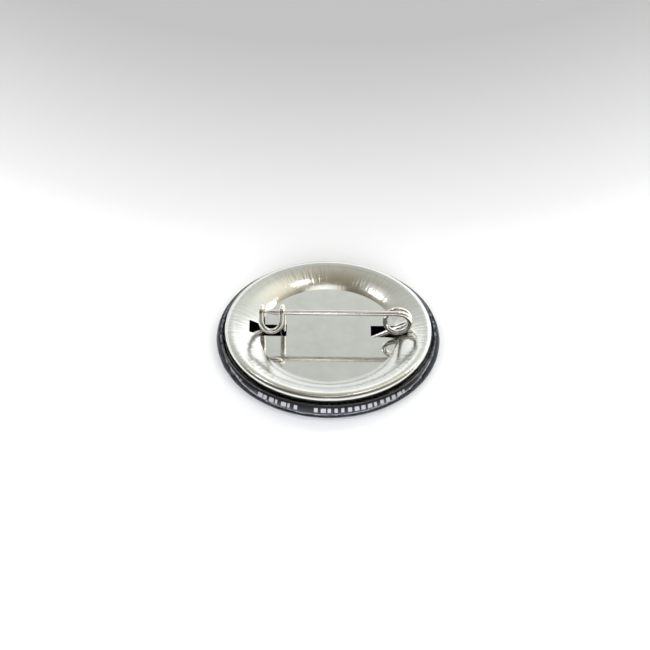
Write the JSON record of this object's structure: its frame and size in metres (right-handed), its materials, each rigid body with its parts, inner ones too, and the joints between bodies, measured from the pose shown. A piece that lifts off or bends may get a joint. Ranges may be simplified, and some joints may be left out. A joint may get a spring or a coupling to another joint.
{
  "type": "pin-back button badge",
  "caption": "Round pin-back button badge lying face down: printed dome under clear film, dished metal back plate, sprung wire pin with coil and bent wire catch.",
  "frame": {"origin": "middle of the front dome, where the badge rests on a surface when it lies face down", "axes": "+Z from the printed front towards the pin; +X along the pin from its point towards its spring coil"},
  "size_m": [0.038, 0.038, 0.0107],
  "materials": {
    "film": "clear glossy film over dark print",
    "paper": "printed paper, near-black rim",
    "tinplate_shell": "plain tinplate",
    "tinplate_back": "bright polished tinplate",
    "spring_wire": "bright nickel-plated spring wire"
  },
  "bodies": {
    "badge": {"clear_film": "film", "printed_paper": "paper", "front_shell": "tinplate_shell", "back_plate": "tinplate_back", "pin_base_and_catch": "spring_wire"},
    "needle": {"pin_needle": "spring_wire"}
  },
  "joints": [
    {"name": "needle_press", "type": "hinge", "parent": "badge", "child": "needle", "pos_m": [0.0117, -0.0005, 0.00715], "axis": [0, -1, 0], "range_deg": [0, 12], "stiffness_Nm_per_rad": 0.1}
  ]
}
